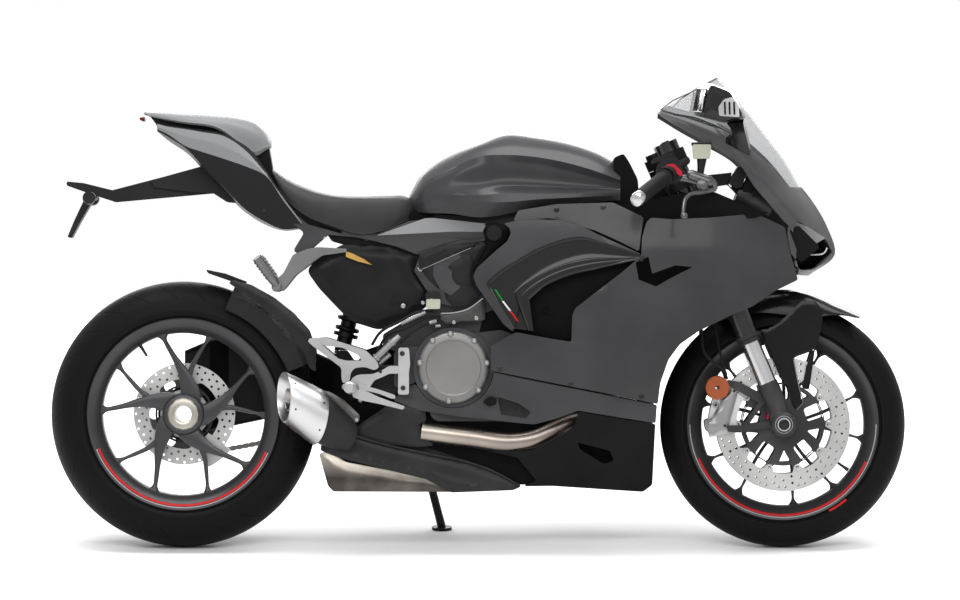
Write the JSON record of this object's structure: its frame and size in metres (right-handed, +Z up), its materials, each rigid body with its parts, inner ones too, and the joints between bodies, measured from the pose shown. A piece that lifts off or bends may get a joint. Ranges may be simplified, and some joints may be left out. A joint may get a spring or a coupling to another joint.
{
  "type": "sport motorcycle",
  "caption": "Fully faired sport motorcycle on its side stand, with turning wheels, steering and a folding stand.",
  "frame": {"origin": "centre of the whole bike's box, on the floor, as it leans on its side stand", "axes": "+X forward, +Y towards the rider's left and the side stand, +Z up from the floor"},
  "size_m": [2.0479, 0.734, 1.1431],
  "materials": {
    "satin_black": "satin",
    "gloss_black": "gloss",
    "moulded_black": "matt",
    "cast_alloy": "cast",
    "graphite_paint": "satin",
    "black_paint": "satin",
    "machined_alloy": "brushed",
    "steel": "brushed",
    "warm_steel": "brushed, heat tinted",
    "tyre_rubber": "matt",
    "hose_rubber": "matt",
    "seat_vinyl": "matt grain",
    "grey_pad": "matt grain",
    "screen": "clear",
    "lamp_lens": "clear",
    "red_lens": "gloss"
  },
  "bodies": {
    "chassis": {"chain": "steel", "clutch_cover": "cast_alloy", "dashboard": "moulded_black", "engine_block": "graphite_paint", "exhaust_box": "warm_steel", "exhaust_pipes": "warm_steel", "footrests_left": "machined_alloy", "footrests_right": "machined_alloy", "fuel_tank": "satin_black", "headlamps": "lamp_lens", "lower_fairing_left": "satin_black", "lower_fairing_right": "satin_black", "main_frame": "black_paint", "mirror_left": "satin_black", "mirror_right": "satin_black", "nose_cowl": "satin_black", "passenger_pad": "grey_pad", "plate_holder": "moulded_black", "radiator": "black_paint", "rear_caliper": "machined_alloy", "rear_cover": "moulded_black", "rear_hugger": "moulded_black", "rider_seat": "seat_vinyl", "shock_absorber": "steel", "side_fairing_left": "satin_black", "side_fairing_right": "satin_black", "subframe": "graphite_paint", "swingarm": "black_paint", "tail_cowl": "satin_black", "tail_lamp": "red_lens", "windscreen": "screen", "wing_panel_left": "gloss_black", "wing_panel_right": "gloss_black"},
    "steering": {"yokes": "black_paint", "fork_legs": "black_paint", "handlebar_right": "black_paint", "handlebar_left": "black_paint", "front_mudguard": "satin_black", "front_calipers": "machined_alloy", "brake_hoses": "hose_rubber", "front_axle": "steel"},
    "front_wheel": {"front_rim": "graphite_paint", "front_tyre": "tyre_rubber", "front_discs": "steel"},
    "rear_wheel": {"rear_rim": "graphite_paint", "rear_tyre": "tyre_rubber", "rear_disc": "steel", "rear_sprocket": "steel", "rear_spindle": "steel"},
    "side_stand": {"side_stand": "black_paint"}
  },
  "joints": [
    {"name": "steering_turn", "type": "hinge", "parent": "chassis", "child": "steering", "pos_m": [0.70239, -0.11416, 0.27941], "axis": [-0.3907, 0.1598, 0.9065], "range_deg": [-26, 26]},
    {"name": "front_wheel_spin", "type": "hinge", "parent": "steering", "child": "front_wheel", "pos_m": [0.73, -0.11212, 0.29095], "axis": [0, 0.9848, -0.1736], "continuous": true},
    {"name": "rear_wheel_spin", "type": "hinge", "parent": "chassis", "child": "rear_wheel", "pos_m": [-0.706, -0.10796, 0.31459], "axis": [0, 0.9848, -0.1736], "continuous": true},
    {"name": "side_stand_fold", "type": "hinge", "parent": "chassis", "child": "side_stand", "pos_m": [-0.146, 0.00942, 0.24312], "axis": [0.084, 0.978, 0.1907], "range_deg": [0, 94.48]}
  ]
}
